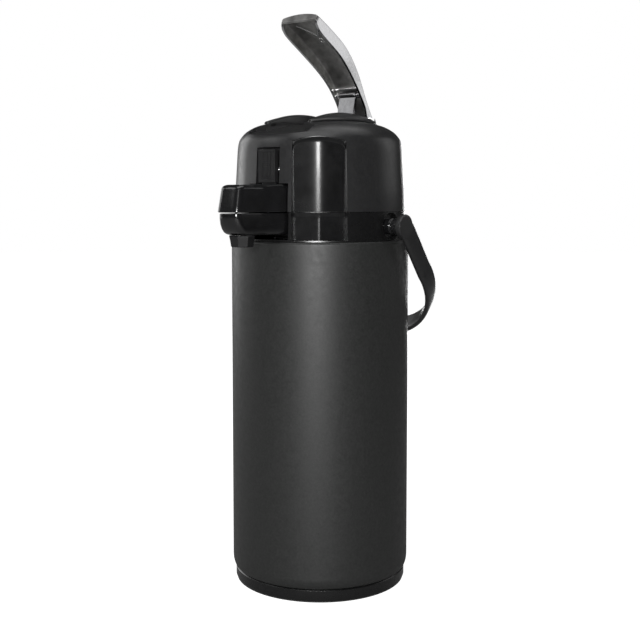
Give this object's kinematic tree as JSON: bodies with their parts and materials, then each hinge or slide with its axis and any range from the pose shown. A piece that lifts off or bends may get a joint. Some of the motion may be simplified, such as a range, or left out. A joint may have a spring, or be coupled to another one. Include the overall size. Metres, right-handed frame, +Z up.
{
  "type": "thermal coffee airpot",
  "caption": "Vacuum-insulated coffee airpot with a hinged pump lid, a raised chrome pump lever, a front spout, a swinging carry handle and a rotating base.",
  "frame": {"origin": "centre of the resting face, on the body's axis", "axes": "+Z up along the body's axis, -Y towards the spout, +X to the side with the glossy panel"},
  "size_m": [0.186, 0.2487, 0.5077],
  "materials": {
    "shell_paint": "matte black powder coat",
    "black_plastic": "satin black",
    "gloss_black": "gloss black",
    "bottle_steel": "brushed stainless steel",
    "pin_steel": "turned stainless steel",
    "chrome": "bright chrome plate",
    "black_rubber": "black rubber",
    "seal_silicone": "translucent grey silicone",
    "glide_plastic": "white low-friction plastic",
    "tube_plastic": "natural food-grade plastic"
  },
  "bodies": {
    "flask": {"outer_shell": "shell_paint", "bottom_cap": "black_plastic", "bottle_outer": "bottle_steel", "bottle_inner": "bottle_steel", "bottle_cushion": "black_rubber", "neck_nut": "black_plastic", "neck_seal": "seal_silicone", "collar": "black_plastic", "collar_panel": "gloss_black", "spout_lower": "gloss_black", "spout_cover": "gloss_black", "nozzle": "gloss_black", "outlet_tube": "tube_plastic", "stopper": "black_plastic", "stopper_gasket": "seal_silicone", "siphon_tube": "bottle_steel", "lid_hinge_pin": "pin_steel", "bail_pins": "chrome", "glide_ring": "glide_plastic", "swivel_washer": "pin_steel", "swivel_screw": "pin_steel"},
    "turntable": {"swivel_base": "black_plastic", "base_pad": "black_rubber"},
    "carry_handle": {"bail": "black_plastic"},
    "lid": {"lid_dome": "black_plastic", "lid_panel": "gloss_black", "lid_base": "black_plastic", "air_seal": "seal_silicone", "lid_screws": "pin_steel", "bellows": "black_rubber", "pump_spring": "pin_steel", "outlet_valve": "seal_silicone", "lever_pin": "pin_steel", "latch_pin": "pin_steel", "latch_spring": "pin_steel"},
    "pump_lever": {"lever": "chrome", "link_pin": "pin_steel"},
    "push_rod": {"push_link": "chrome"},
    "pump": {"pump_plate": "black_plastic", "inlet_valve": "seal_silicone"},
    "lid_latch": {"latch": "black_plastic"},
    "valve_ball": {"check_ball": "pin_steel"}
  },
  "joints": [
    {"name": "base_turn", "type": "hinge", "parent": "flask", "child": "turntable", "pos_m": [0, 0, 0.006], "axis": [0, 0, 1], "continuous": true},
    {"name": "handle_swing", "type": "hinge", "parent": "flask", "child": "carry_handle", "pos_m": [0, 0, 0.3225], "axis": [1, 0, 0], "range_deg": [0, 112]},
    {"name": "lid_open", "type": "hinge", "parent": "flask", "child": "lid", "pos_m": [0, 0.0795, 0.335], "axis": [-1, 0, 0], "range_deg": [0, 95]},
    {"name": "lever_press", "type": "hinge", "parent": "lid", "child": "pump_lever", "pos_m": [0, 0.057, 0.4155], "axis": [1, 0, 0], "range_deg": [0, 48], "stiffness_Nm_per_rad": 0.8, "springref_deg": -20.05},
    {"name": "link_swing", "type": "hinge", "parent": "pump_lever", "child": "push_rod", "pos_m": [0, 0.0445, 0.4426], "axis": [1, 0, 0], "range_deg": [-18.5, 0]},
    {"name": "pump_stroke", "type": "slide", "parent": "lid", "child": "pump", "axis": [0, 0, -1], "range_m": [0, 0.0175], "deforming": ["bellows", "pump_spring"]},
    {"name": "latch_press", "type": "hinge", "parent": "lid", "child": "lid_latch", "pos_m": [0, -0.0698, 0.371], "axis": [-1, 0, 0], "range_deg": [0, 8], "stiffness_Nm_per_rad": 0.3, "springref_deg": -17.19},
    {"name": "ball_lift", "type": "slide", "parent": "flask", "child": "valve_ball", "axis": [0, 0, 1], "range_m": [0, 0.006]}
  ],
  "couplings": [
    {"joint": "link_swing", "follows": "lever_press", "ratio": -0.38},
    {"joint": "pump_stroke", "follows": "lever_press", "m_per_rad": 0.020686}
  ]
}
